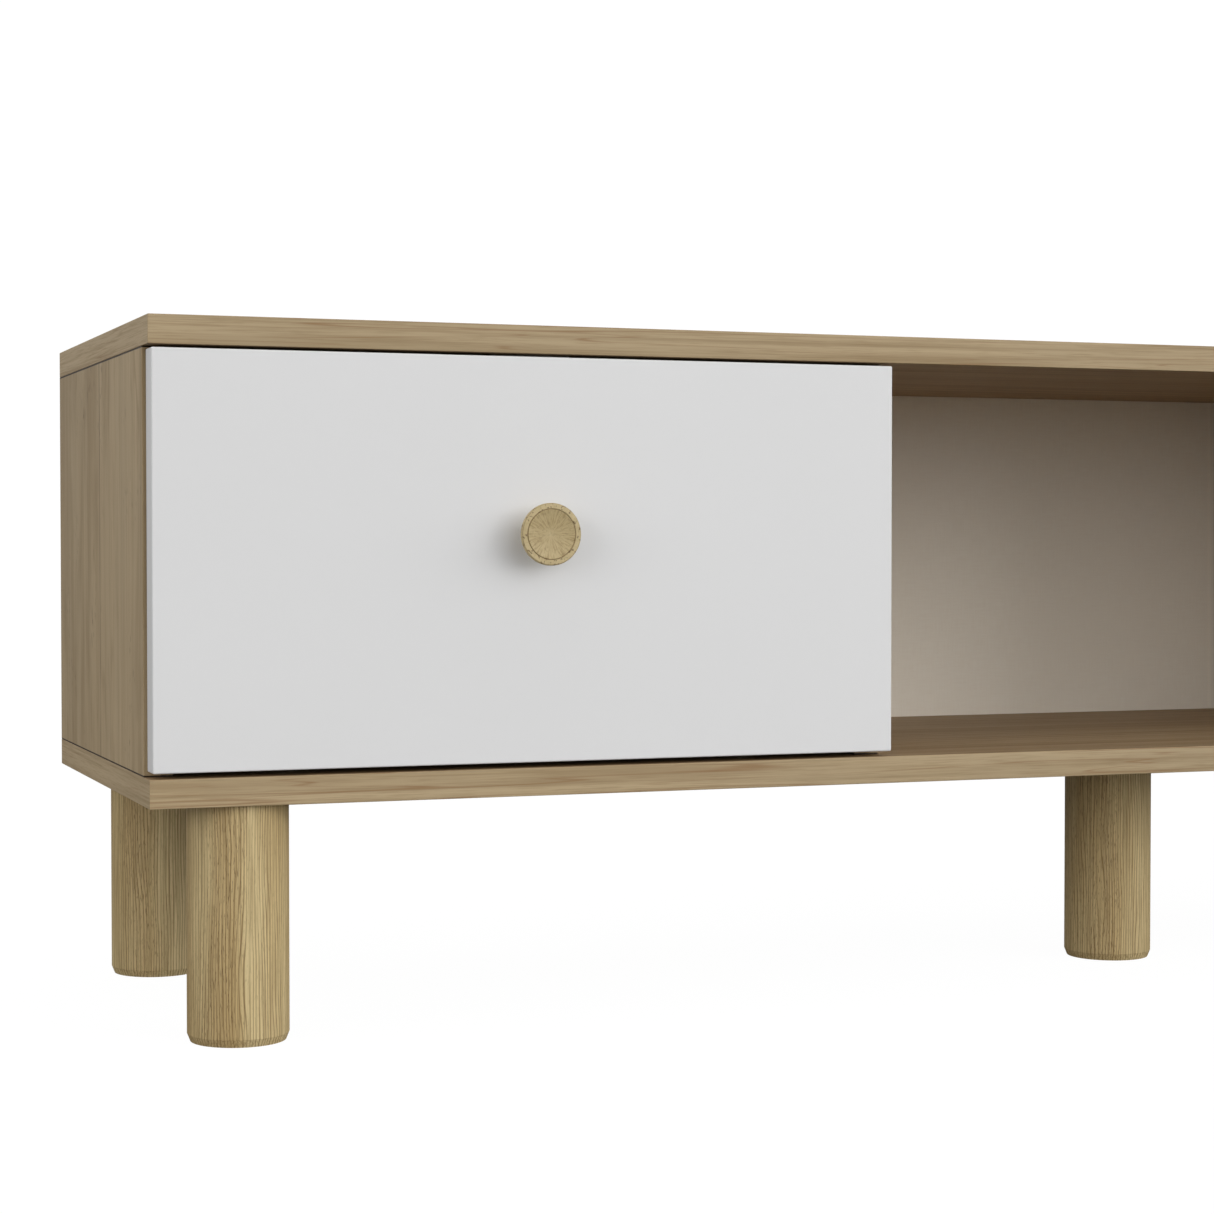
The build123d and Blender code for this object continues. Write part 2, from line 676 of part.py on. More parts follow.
def left_end():
    """Every node of the left door and its fittings, by name."""
    bottom_screws = [place for x in hinge_xs for place in plate_screw_places(x)]
    carcass_screws = bottom_screws + wall_bracket_screw_places() + catch_screw_places()
    return {
        "door_panel": door_panel(),
        "knob": knob(),
        "knob_screw": knob_screw(),
        "hinge_cups": group([hinge_cup(x) for x in hinge_xs]),
        "hinge_pins": group([hinge_pin(x) for x in hinge_xs]),
        "hinge_arms": group([hinge_arm(x) for x in hinge_xs]),
        "hinge_arm_screws": group([arm_screw(x) for x in hinge_xs]),
        "hinge_plates": group([hinge_plate(x) for x in hinge_xs]),
        "stay_arm": stay_arm(),
        "stay_door_bracket": stay_door_bracket(),
        "stay_door_pin": stay_door_pin(),
        "stay_wall_bracket": stay_wall_bracket(),
        "stay_wall_pin": stay_wall_pin(),
        "magnetic_catch": catch_body(),
        "catch_magnet": catch_magnet_block(0, 0),
        "strike_plate": strike_plate(),
        "door_bumpers": group(bumpers()),
        "door_screws": group([place * wood_screw() for place in door_screw_places()]),
        "carcass_screws": group([place * wood_screw() for place in carcass_screws]),
    }


# ---------------------------------------------------------------- carcass
def upright(x, own_joints, extra_cuts):
    blank = board(x - panel / 2, x + panel / 2, y_upright, y_rear, z_floor, z_ceiling, panel_edge)
    nails = [nail_hole(nx, nz) for nx, nz in nail_points() if abs(nx - x) < panel / 2]
    cuts = [cut for joint in own_joints for cut in joint.upright_cuts()]
    return blank - cuts - nails - extra_cuts


def bottom_panel():
    blank = board(-x_end, x_end, y_front, y_rear, z_bottom, z_floor, panel_edge)
    cuts = [cut for joint in joints if joint.rise > 0 for cut in joint.panel_cuts()]
    inserts = [leg_insert_hole(x, y) for x, y in leg_places.values()]
    nails = [nail_hole(x, z) for x, z in nail_points() if z < z_floor]
    left = [place * screw_hole() for x in hinge_xs for place in plate_screw_places(x)]
    return blank - cuts - inserts - nails - left - [mirrored(cut) for cut in left]


def top_panel():
    blank = board(-x_end, x_end, y_front, y_rear, z_ceiling, z_top, panel_edge)
    cuts = [cut for joint in joints if joint.rise < 0 for cut in joint.panel_cuts()]
    nails = [nail_hole(x, z) for x, z in nail_points() if z > z_ceiling]
    left = [place * screw_hole() for place in catch_screw_places()]
    return blank - cuts - nails - left - [mirrored(cut) for cut in left]


def back_panel():
    sheet = block(-x_end + back_inset, x_end - back_inset, y_rear, y_rear + back_thickness,
                  z_bottom + back_inset, z_top - back_inset)
    return sheet - [nail_hole(x, z) for x, z in nail_points()]


wall_holes = [place * screw_hole() for place in wall_bracket_screw_places()]
nodes = {
    "top_panel": top_panel(),
    "bottom_panel": bottom_panel(),
    "left_side_panel": upright(-x_side, left_side_joints, wall_holes),
    "right_side_panel": upright(x_side, right_side_joints, [mirrored(hole) for hole in wall_holes]),
    "left_divider": upright(-x_divider, left_divider_joints, []),
    "right_divider": upright(x_divider, right_divider_joints, []),
    "back_panel": back_panel(),
    "back_panel_nails": group([nail(x, z) for x, z in nail_points()]),
    "cam_locks": group([cam for joint in joints for cam in joint.cams()]),
    "cam_bolts": group([bolt for joint in joints for bolt in joint.bolts()]),
    "alignment_dowels": group([dowel for joint in joints for dowel in joint.dowels()]),
    "leg_hanger_bolts": group([hanger_bolt(x, y) for x, y in leg_places.values()]),
    "leg_threaded_inserts": group([leg_insert(x, y) for x, y in leg_places.values()]),
}
for name, (leg_x, leg_y) in leg_places.items():
    nodes[name + "_leg"] = leg(leg_x, leg_y)
for name, shape in left_end().items():
    nodes["left_" + name] = shape
    nodes["right_" + name] = mirrored(shape)

os.makedirs("parts", exist_ok=True)
for name, shape in nodes.items():
    export_step(shape, f"parts/{name}.step")
print(len(nodes), "nodes; stay door pin", stay_pin_y, stay_pin_z, "; hinge axis", axis_y, axis_z)
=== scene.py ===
# Looks of the tv stand: procedural materials on the CAD nodes, a pale floor, soft studio light and a
# fixed camera. Everything is in metres, in the row frame: +X right, -Y front, +Z up, floor at Z = 0.
import json
import math
import bpy
from mathutils import Euler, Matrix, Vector


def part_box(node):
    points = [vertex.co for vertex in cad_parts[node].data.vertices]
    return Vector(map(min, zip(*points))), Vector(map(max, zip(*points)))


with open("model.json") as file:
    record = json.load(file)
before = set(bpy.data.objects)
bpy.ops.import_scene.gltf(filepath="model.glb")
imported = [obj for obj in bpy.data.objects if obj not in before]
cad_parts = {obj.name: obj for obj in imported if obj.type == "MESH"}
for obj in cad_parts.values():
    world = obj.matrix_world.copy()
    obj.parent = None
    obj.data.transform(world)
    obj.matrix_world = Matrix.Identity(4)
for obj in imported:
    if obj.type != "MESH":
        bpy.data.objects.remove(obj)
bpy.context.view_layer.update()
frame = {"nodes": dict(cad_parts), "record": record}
nodes = frame["nodes"]

# ---------------------------------------------------------------- places read from the frame
knob_low, knob_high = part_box("left_knob")
knob_centre = (knob_low + knob_high) / 2
knob_radius = (knob_high.x - knob_low.x) / 2
top_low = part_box("top_panel")[0]
front_left = Vector((top_low.x, top_low.y, 0))

# ---------------------------------------------------------------- camera
CAMERA_FROM_CORNER = Vector((-0.28581, -1.55438, 0.31263))  # from the floor under the front left corner
CAMERA_YAW = 20.507  # degrees, turned to the right of straight back
CAMERA_PITCH = -1.461  # degrees above level
LENS_PER_FRAME = 2.1222  # focal length over the frame's width
SENSOR_WIDTH = 36.0  # millimetres
NEAREST = 0.01
FARTHEST = 60.0

# ---------------------------------------------------------------- light
AMBIENT = 0.565  # even light on the object
SURROUND = 1.02  # what the camera sees behind the object
FLOOR_WHITE = 0.75  # share of plain white in the floor that the camera sees, so shadows on it are faint
FLOOR_GLOW = 1.3  # that white's strength
FLOOR_ALBEDO = 0.22
FLOOR_REACH = 40.0  # half the floor's width
# name, degrees above level, degrees to the right of front, strength, degrees across
SUNS = (("key", 8, 55, 0.48, 56),
        ("left_fill", 6, -62, 0.30, 44),
        ("front", 18, 20, 0.20, 50))

# ---------------------------------------------------------------- colours, as displayed in 0 to 255
LAMINATE_LIGHT = (192, 170, 134)
LAMINATE_DARK = (145, 121, 85)
LAMINATE_GREY = (178, 159, 127)
LAMINATE_RED = (152, 120, 84)
LAMINATE_FLECK = (88, 66, 44)
# painted shade along the joints where an upright meets the top and bottom panels
SEAM_SHADE_COLOUR = (38, 27, 17)
OAK_LIGHT = (223, 202, 152)
OAK_MIDDLE = (202, 177, 126)
OAK_WARM = (194, 163, 112)
OAK_DARK = (132, 104, 64)
# oak pores, and also the painted shade lines in the knob's groove and round its rim
OAK_PORE_AND_SHADE = (98, 74, 44)
KNOB_LIGHT = (203, 184, 140)
KNOB_DARK = (150, 126, 80)
DOOR_LIGHT = (235, 235, 235)
DOOR_SHADE = (233, 233, 233)
BACK_LIGHT = (251, 245, 232)
BACK_DARK = (245, 237, 223)
BEECH = (205, 172, 128)
WHITE_PLASTIC = (228, 227, 222)
SOFT_RUBBER = (205, 204, 196)
FERRITE = (44, 43, 42)

# ---------------------------------------------------------------- colours that are linear, 0 to 1
FACE_TINT = (0.80, 0.73, 0.68, 1)  # panels' broad faces against their edge bands
ZINC_PLATED = (0.62, 0.61, 0.59, 1)
NICKEL_PLATED = (0.60, 0.58, 0.55, 1)
DIE_CAST_ZINC = (0.42, 0.42, 0.43, 1)

# ---------------------------------------------------------------- sizes of the printed detail
STAVE_JOINT_OFFSET = -0.008  # glued joint from the middle of an upright
STAVE_JOINT_BLEND = 0.0002  # half the width over which one stave's tone changes to the other's
STAVE_LINE = (0.0004, 0.0018)  # the joint's dark line fades out between these distances
SEAM_SHADE_WIDTH = 0.0012  # width of the painted shade along an upright's joints with the top and bottom
LEG_LINES = 92  # growth lines round a leg
LEG_TURN = -12  # degrees that the legs' warmer zone is turned about the vertical
LEG_ZONE_OFFSET = -0.007  # that zone's middle from the leg's axis; its drift is about 15 mm further left
LEG_ZONE_FADE = (0.003, 0.014)  # it fades out between these distances from its middle
KNOB_GROOVE_RADIUS = 0.016
# half the width of the painted shade lines in the knob's groove and round its rim
KNOB_SHADE_LINE_WIDTH = 0.0005
KNOB_RIM_SHADE_INSET = 0.0004  # the painted shade line round the rim, from the knob's edge


def add_camera():
    data = bpy.data.cameras.new("camera")
    data.sensor_width = SENSOR_WIDTH
    data.lens = SENSOR_WIDTH * LENS_PER_FRAME
    data.clip_start = NEAREST
    data.clip_end = FARTHEST
    camera = bpy.data.objects.new("camera", data)
    camera.location = front_left + CAMERA_FROM_CORNER
    camera.rotation_euler = Euler((math.radians(90 + CAMERA_PITCH), 0, math.radians(-CAMERA_YAW)))
    bpy.context.scene.collection.objects.link(camera)
    bpy.context.scene.camera = camera


# ---------------------------------------------------------------- floor and light
def add_floor():
    mesh = bpy.data.meshes.new("floor")
    corners = [(FLOOR_REACH * x, FLOOR_REACH * y, 0) for x, y in ((-1, -1), (1, -1), (1, 1), (-1, 1))]
    mesh.from_pydata(corners, [], [(0, 1, 2, 3)])
    floor = bpy.data.objects.new("floor", mesh)
    bpy.context.scene.collection.objects.link(floor)
    material = bpy.data.materials.new("pale_floor")
    material.use_nodes = True
    tree = material.node_tree
    shader = tree.nodes["Principled BSDF"]
    shader.inputs["Base Color"].default_value = (FLOOR_ALBEDO, FLOOR_ALBEDO, FLOOR_ALBEDO, 1)
    shader.inputs["Roughness"].default_value = 0.9
    shader.inputs["Specular IOR Level"].default_value = 0.0
    white = tree.nodes.new("ShaderNodeEmission")
    white.inputs["Strength"].default_value = FLOOR_GLOW
    amount = tree.nodes.new("ShaderNodeMapRange")
    amount.inputs["To Max"].default_value = FLOOR_WHITE
    tree.links.new(tree.nodes.new("ShaderNodeLightPath").outputs["Is Camera Ray"], amount.inputs["Value"])
    blend = tree.nodes.new("ShaderNodeMixShader")
    tree.links.new(amount.outputs["Result"], blend.inputs[0])
    tree.links.new(shader.outputs[0], blend.inputs[1])
    tree.links.new(white.outputs[0], blend.inputs[2])
    tree.links.new(blend.outputs[0], tree.nodes["Material Output"].inputs["Surface"])
    mesh.materials.append(material)


def add_sun(name, elevation, azimuth, strength, spread):
    """Soft distant light. Azimuth 0 shines from the front, and positive values from the right."""
    data = bpy.data.lights.new(name, "SUN")
    data.energy = strength * math.pi
    data.angle = math.radians(spread)
    light = bpy.data.objects.new(name, data)
    up = math.radians(elevation)
    turn = math.radians(azimuth)
    towards = Vector((math.cos(up) * math.sin(turn), -math.cos(up) * math.cos(turn), math.sin(up)))
    light.rotation_euler = towards.to_track_quat("Z", "Y").to_euler()
    bpy.context.scene.collection.objects.link(light)


def add_lights():
    """A white studio: a white surround behind everything, an even light on the object, and three broad
    soft lights low in front."""
    world = bpy.data.worlds.new("studio")
    bpy.context.scene.world = world
    world.use_nodes = True
    tree = world.node_tree
    background = tree.nodes["Background"]
    background.inputs["Color"].default_value = (1.0, 1.0, 1.0, 1)
    path = tree.nodes.new("ShaderNodeLightPath")
    seen = tree.nodes.new("ShaderNodeMapRange")
    seen.inputs["To Min"].default_value = AMBIENT
    seen.inputs["To Max"].default_value = SURROUND
    tree.links.new(path.outputs["Is Camera Ray"], seen.inputs["Value"])
    tree.links.new(seen.outputs["Result"], background.inputs["Strength"])
    for name, elevation, azimuth, strength, spread in SUNS:
        add_sun(name, elevation, azimuth, strength, spread)
    bpy.context.scene.view_settings.view_transform = "Standard"


# ---------------------------------------------------------------- node helpers
# A Mix node has its own sockets for each kind of data: first input, second input and result.
MIX_FLOAT = (2, 3, 0)
MIX_COLOUR = (6, 7, 2)


class Graph:
    """A material's node tree, with short calls for the nodes that these materials share."""

    def __init__(self, name):
        self.material = bpy.data.materials.new(name)
        self.material.use_nodes = True
        self.tree = self.material.node_tree
        self.shader = self.tree.nodes["Principled BSDF"]
        self.place = None

    def add(self, kind, **settings):
        node = self.tree.nodes.new(kind)
        for key, value in settings.items():
            setattr(node, key, value)
        return node

    def link(self, source, target):
        self.tree.links.new(source, target)
        return target

    def feed(self, socket, value):
        """A number, a tuple or another node's output goes into a socket."""
        if isinstance(value, bpy.types.NodeSocket):
            self.link(value, socket)
        else:
            socket.default_value = value

    def object_place(self):
        if self.place is None:
            self.place = self.add("ShaderNodeTexCoord").outputs["Object"]
        return self.place

    def stretched(self, scale, shift=(0, 0, 0), place=None):
        """Object coordinates or another place, times one scale or one for each axis, plus a shift."""
        mapping = self.add("ShaderNodeMapping")
        mapping.inputs["Scale"].default_value = scale if isinstance(scale, tuple) else (scale,) * 3
        mapping.inputs["Location"].default_value = shift
        self.link(place or self.object_place(), mapping.inputs["Vector"])
        return mapping.outputs["Vector"]

    def from_centre(self, centre, turn=(0, 0, 0)):
        """Object coordinates measured from a centre, and turned about it by angles in degrees."""
        moved = self.add("ShaderNodeVectorMath", operation="SUBTRACT")
        self.link(self.object_place(), moved.inputs[0])
        moved.inputs[1].default_value = centre
        turned = self.add("ShaderNodeMapping")
        turned.inputs["Rotation"].default_value = tuple(math.radians(angle) for angle in turn)
        self.link(moved.outputs[0], turned.inputs["Vector"])
        return turned.outputs["Vector"]

    def split(self, place):
        node = self.add("ShaderNodeSeparateXYZ")
        self.link(place, node.inputs["Vector"])
        return node.outputs["X"], node.outputs["Y"], node.outputs["Z"]

    def facing(self, axis):
        """How squarely the surface faces an axis of the row frame, 0 to 1."""
        normal = self.split(self.add("ShaderNodeTexCoord").outputs["Normal"])
        return self.math("ABSOLUTE", normal["XYZ".index(axis)])

    def noise(self, place, detail, roughness, distortion=0.0, scale=1.0):
        node = self.add("ShaderNodeTexNoise")
        self.link(place, node.inputs["Vector"])
        node.inputs["Scale"].default_value = scale
        node.inputs["Detail"].default_value = detail
        node.inputs["Roughness"].default_value = roughness
        node.inputs["Distortion"].default_value = distortion
        return node.outputs["Fac"]

    def math(self, operation, first, second=0.0, third=None):
        node = self.add("ShaderNodeMath", operation=operation)
        self.feed(node.inputs[0], first)
        self.feed(node.inputs[1], second)
        if third is not None:
            self.feed(node.inputs[2], third)
        return node.outputs[0]

    def ramp(self, value, low, high, to_low=0.0, to_high=1.0):
        """A smooth step of the value from low to high."""
        node = self.add("ShaderNodeMapRange", interpolation_type="SMOOTHSTEP")
        self.feed(node.inputs["Value"], value)
        node.inputs["From Min"].default_value = low
        node.inputs["From Max"].default_value = high
        node.inputs["To Min"].default_value = to_low
        node.inputs["To Max"].default_value = to_high
        return node.outputs["Result"]

    def mix(self, factor, first, second, **settings):
        """The first colour, with the second over it by a factor."""
        return self.mixed(MIX_COLOUR, factor, first, second, data_type="RGBA", **settings)

    def mix_floats(self, factor, first, second):
        return self.mixed(MIX_FLOAT, factor, first, second, data_type="FLOAT")

    def mixed(self, sockets, factor, first, second, **settings):
        node = self.add("ShaderNodeMix", **settings)
        self.feed(node.inputs[0], factor)
        self.feed(node.inputs[sockets[0]], first)
        self.feed(node.inputs[sockets[1]], second)
        return node.outputs[sockets[2]]

    def finish(self, tone, roughness, height, distance, strength, specular=0.5):
        """The material, once its colour, roughness, bump and constant specular level are set."""
        self.feed(self.shader.inputs["Base Color"], tone)
        self.feed(self.shader.inputs["Roughness"], roughness)
        self.shader.inputs["Specular IOR Level"].default_value = specular
        node = self.add("ShaderNodeBump")
        node.inputs["Strength"].default_value = strength
        node.inputs["Distance"].default_value = distance
        self.link(height, node.inputs["Height"])
        self.link(node.outputs["Normal"], self.shader.inputs["Normal"])
        return self.material


def srgb(red, green, blue):
    """A display colour in 0 to 255, as the linear colour that shaders use."""
    def linear(value):
        value = value / 255
        return value / 12.92 if value <= 0.04045 else ((value + 0.055) / 1.055) ** 2.4
    return (linear(red), linear(green), linear(blue), 1.0)


def dimmed(colour, share):
    return tuple(channel * share for channel in colour[:3]) + (1.0,)


def rotated(scale_along, scale_across, axis):
    """Texture scale that draws grain along one axis of the row frame."""
    scale = [scale_across] * 3
    scale["XYZ".index(axis)] = scale_along
    return tuple(scale)


# ---------------------------------------------------------------- wood
# Pattern scales are in noise cells to the metre, along and across the grain. Noise lies about 0.5, so a
# ramp's two limits choose how much of a surface a pattern covers, and how sharp its edges are.
def ridges(g, value, middle, width):
    """Thin lines where the value crosses the middle."""
    away = g.math("ABSOLUTE", g.math("SUBTRACT", value, middle))
    return g.ramp(away, 0.0, width, 1.0, 0.0)


def grain(g, axis, shift, bands_amount, lines_amount, streaks_amount=0.5):
    """Straight-grained oak print along one axis: soft bands, streaks, fine fibres and thin red-brown
    lines. Returns the tone and a height."""
    light, dark, grey, red = (srgb(*c) for c in (LAMINATE_LIGHT, LAMINATE_DARK, LAMINATE_GREY, LAMINATE_RED))
    cloud = g.noise(g.stretched(rotated(2.2, 9, axis), shift), 3, 0.55, 0.4)
    bands = g.noise(g.stretched(rotated(1.6, 75, axis), shift), 3, 0.6, 0.5)
    streaks = g.noise(g.stretched(rotated(5, 380, axis), shift), 4, 0.65, 0.3)
    fine = g.noise(g.stretched(rotated(38, 1500, axis), shift), 2, 0.6)
    field = g.noise(g.stretched(rotated(2.4, 130, axis), shift), 1, 0.4, 0.35)
    tone = g.mix(g.math("MULTIPLY", g.ramp(bands, 0.36, 0.68), bands_amount), light, dark)
    tone = g.mix(g.ramp(cloud, 0.40, 0.68, 0.0, 0.55), tone, grey)
    tone = g.mix(g.ramp(streaks, 0.46, 0.70, 0.0, streaks_amount), tone, dark)
    tone = g.mix(g.ramp(fine, 0.48, 0.70, 0.0, 0.7 * streaks_amount), tone, dark)
    lines = g.math("MAXIMUM", ridges(g, field, 0.47, 0.016), ridges(g, field, 0.60, 0.010))
    lines = g.math("MULTIPLY", lines, g.ramp(streaks, 0.38, 0.56, 0.3, 1.0))
    tone = g.mix(g.math("MULTIPLY", lines, lines_amount), tone, red)
    return tone, g.math("ADD", streaks, g.math("MULTIPLY", fine, 0.6))


def flecks(g, tone, axis, shift, amount):
    """Scattered short dark flecks, slightly slanted, and a few faint knots."""
    slanted = g.from_centre((0, 0, 0), (9, -9, 0))
    moved = (shift[0] + 3, shift[1] + 1, shift[2])
    small = g.noise(g.stretched(rotated(70, 400, axis), moved, slanted), 1, 0.4, 0.3)
    where = g.noise(g.stretched(17, moved), 1, 0.5)
    spots = g.math("MULTIPLY", g.ramp(small, 0.63, 0.73), g.ramp(where, 0.53, 0.66))
    tone = g.mix(g.math("MULTIPLY", g.math("MULTIPLY", spots, 0.6), amount), tone, srgb(*LAMINATE_FLECK))
    knots = g.noise(g.stretched(rotated(13, 62, axis), moved, slanted), 2, 0.5, 0.8)
    halo = g.math("MULTIPLY", g.ramp(knots, 0.60, 0.78, 0.0, 0.5), amount)
    return g.mix(halo, tone, srgb(*LAMINATE_DARK))


def finish_laminate(g, tone, height):
    return g.finish(tone, g.ramp(height, 0.4, 1.2, 0.50, 0.62), height, 0.00006, 0.5, specular=0.3)


def shelf_laminate(name, shift):
    """Top and bottom panels: grain along the length, and an edge band with its own grain on the ends."""
    g = Graph(name)
    long_tone, long_height = grain(g, "X", shift, 0.62, 0.8)
    end_tone, end_height = grain(g, "Y", (shift[0], shift[1] + 5, shift[2]), 0.45, 0.5)
    on_face = g.ramp(g.facing("Z"), 0.6, 0.8)
    long_tone = flecks(g, long_tone, "X", shift, g.math("MULTIPLY", on_face, 0.5))
    long_tone = g.mix(on_face, long_tone, FACE_TINT, blend_type="MULTIPLY")
    on_end = g.ramp(g.facing("X"), 0.6, 0.8)
    height = g.mix_floats(on_end, long_height, end_height)
    return finish_laminate(g, g.mix(on_end, long_tone, end_tone), height)


def upright_laminate(name, node, shift):
    """Side panels and dividers: upright grain, a glued joint down the middle, and painted shade along the
    joints where the panel meets the top and bottom."""
    g = Graph(name)
    tone, height = grain(g, "Z", shift, 0.26, 0.22, 0.3)
    patch = g.noise(g.stretched((26, 26, 5), shift), 4, 0.62, 0.6)
    tone = g.mix(g.ramp(patch, 0.46, 0.68, 0.0, 0.5), tone, srgb(*LAMINATE_DARK))
    tone = flecks(g, tone, "Z", shift, 1.0)
    low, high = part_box(node)
    across, up = g.split(g.object_place())[1:]
    joint = (low.y + high.y) / 2 + STAVE_JOINT_OFFSET
    beyond = g.ramp(across, joint - STAVE_JOINT_BLEND, joint + STAVE_JOINT_BLEND, 0.0, 0.12)
    tone = g.mix(beyond, tone, srgb(*LAMINATE_DARK))
    wander = g.noise(g.stretched((3, 3, 9), shift), 2, 0.5)
    off_joint = g.math("ABSOLUTE", g.math("SUBTRACT", across, joint))
    line = g.ramp(off_joint, *STAVE_LINE, 0.7, 0.0)
    tone = g.mix(g.math("MULTIPLY", line, g.ramp(wander, 0.3, 0.6)), tone, srgb(*LAMINATE_FLECK))
    # painted shade: a near-black band along the joints with the top and bottom panels
    from_end = g.math("MINIMUM", g.math("SUBTRACT", up, low.z), g.math("SUBTRACT", high.z, up))
    seam_shade = g.ramp(from_end, SEAM_SHADE_WIDTH * 0.8, SEAM_SHADE_WIDTH, 0.95, 0.0)
    return finish_laminate(g, g.mix(seam_shade, tone, srgb(*SEAM_SHADE_COLOUR)), height)


def leg_oak(name, centre, shift):
    """Open-pored oak: fine dark growth lines run close together down the leg, and wander in a warmer
    zone down its front and rear, where short pores are dense."""
    g = Graph(name)
    place = g.from_centre(centre, (0, 0, LEG_TURN))
    across, deep, _ = g.split(place)
    turn = g.math("DIVIDE", g.math("ARCTAN2", deep, across), 2 * math.pi)
    drift = g.noise(g.stretched((28, 28, 4.5), shift, place), 2, 0.5)
    wobble = g.noise(g.stretched((90, 90, 14), shift, place), 2, 0.5)
    off_zone = g.math("MULTIPLY_ADD", drift, 0.03, g.math("SUBTRACT", across, LEG_ZONE_OFFSET))
    zone = g.ramp(g.math("ABSOLUTE", off_zone), *LEG_ZONE_FADE, 1.0, 0.0)
    wander = g.math("MULTIPLY", g.math("SUBTRACT", drift, 0.5), g.math("MULTIPLY_ADD", zone, 6.0, 5.0))
    phase = g.math("ADD", g.math("MULTIPLY_ADD", turn, LEG_LINES, wander), g.math("MULTIPLY", wobble, 1.8))
    saw = g.math("ABSOLUTE", g.math("SUBTRACT", g.math("FRACT", phase), 0.5))
    line = g.ramp(saw, 0.03, 0.23, 1.0, 0.0)
    strength = g.noise(g.stretched((240, 240, 5), shift, place), 2, 0.6)
    fibres = g.noise(g.stretched((1150, 1150, 16), shift, place), 3, 0.6)
    pores = g.noise(g.stretched((1900, 1900, 190), shift, place), 2, 0.5)
    hue = g.noise(g.stretched((40, 40, 3), shift, place), 2, 0.5)
    dark = srgb(*OAK_DARK)
    tone = g.mix(g.ramp(hue, 0.36, 0.66), srgb(*OAK_LIGHT), srgb(*OAK_MIDDLE))
    tone = g.mix(g.math("MULTIPLY", zone, 0.4), tone, srgb(*OAK_WARM))
    tone = g.mix(g.ramp(fibres, 0.40, 0.66, 0.0, 0.5), tone, dark)
    lines = g.math("MULTIPLY", line, g.ramp(strength, 0.26, 0.58, 0.25, 0.78))
    tone = g.mix(lines, tone, dark)
    dashes = g.math("MULTIPLY", g.ramp(pores, 0.56, 0.70), g.math("MULTIPLY_ADD", zone, 0.5, 0.25))
    tone = g.mix(dashes, tone, srgb(*OAK_PORE_AND_SHADE))
    height = g.math("MULTIPLY", g.math("ADD", lines, dashes), -1.0)
    return g.finish(tone, g.ramp(fibres, 0.3, 0.7, 0.56, 0.68), height, 0.00012, 0.5, specular=0.25)


def knob_wood(name, centre):
    """Turned end-grain wood: fine rays inside the groove, small dark pores on the ring outside it, and
    painted shade, a dark line in the groove and round the rim."""
    g = Graph(name)
    local = g.from_centre(centre)
    out_x, _, out_z = g.split(local)
    radius = g.math("SQRT", g.math("ADD", g.math("POWER", out_x, 2.0), g.math("POWER", out_z, 2.0)))
    angle = g.math("ARCTAN2", out_z, out_x)
    fan = g.add("ShaderNodeCombineXYZ")
    g.link(g.math("COSINE", angle), fan.inputs["X"])
    g.link(g.math("SINE", angle), fan.inputs["Y"])
    g.link(g.math("MULTIPLY", radius, 9.0), fan.inputs["Z"])
    rays = g.noise(fan.outputs[0], 3, 0.7, scale=19.0)
    pores = g.noise(g.stretched(560), 1, 0.5)
    mottle = g.noise(g.stretched(110), 2, 0.5)
    dish = g.ramp(radius, KNOB_GROOVE_RADIUS - 0.0003, KNOB_GROOVE_RADIUS, 1.0, 0.0)
    dark = srgb(*KNOB_DARK)
    tone = g.mix(g.ramp(mottle, 0.45, 0.75, 0.0, 0.3), srgb(*KNOB_LIGHT), dark)
    tone = g.mix(g.math("MULTIPLY", dish, 0.2), tone, dark)
    fans = g.math("MULTIPLY", g.ramp(rays, 0.44, 0.64), g.ramp(radius, 0.001, 0.006, 0.1, 0.62))
    tone = g.mix(g.math("MULTIPLY", fans, g.math("MULTIPLY_ADD", dish, 0.75, 0.25)), tone, dark)
    spots = g.math("MULTIPLY", g.ramp(pores, 0.57, 0.68), g.math("MULTIPLY_ADD", dish, -0.6, 0.75))
    tone = g.mix(spots, tone, srgb(*OAK_PORE_AND_SHADE))
    on_face = g.ramp(g.facing("Y"), 0.2, 0.5)
    # painted shade: dark lines in the groove and round the rim
    groove_shade = ridges(g, radius, KNOB_GROOVE_RADIUS, KNOB_SHADE_LINE_WIDTH)
    rim_shade = ridges(g, radius, knob_radius - KNOB_RIM_SHADE_INSET, KNOB_SHADE_LINE_WIDTH)
    edge_shade = g.math("MULTIPLY", g.math("MAXIMUM", groove_shade, g.math("MULTIPLY", rim_shade, 0.6)), on_face)
    tone = g.mix(g.math("MULTIPLY", edge_shade, 0.6), tone, srgb(*OAK_PORE_AND_SHADE))
    height = g.math("SUBTRACT", g.math("MULTIPLY", rays, -0.7), pores)
    return g.finish(tone, g.ramp(mottle, 0.3, 0.7, 0.46, 0.56), height, 0.0001, 0.5, specular=0.35)


# ---------------------------------------------------------------- painted and printed boards
def white_paint(name):
    """Satin white paint with a very faint roller texture."""
    g = Graph(name)
    orange_peel = g.noise(g.stretched(620), 2, 0.5)
    cloud = g.noise(g.stretched(3), 2, 0.5)
    tone = g.mix(g.ramp(cloud, 0.3, 0.7), srgb(*DOOR_LIGHT), srgb(*DOOR_SHADE))
    return g.finish(tone, g.ramp(orange_peel, 0.3, 0.7, 0.36, 0.44), orange_peel, 0.00003, 0.35, specular=0.4)


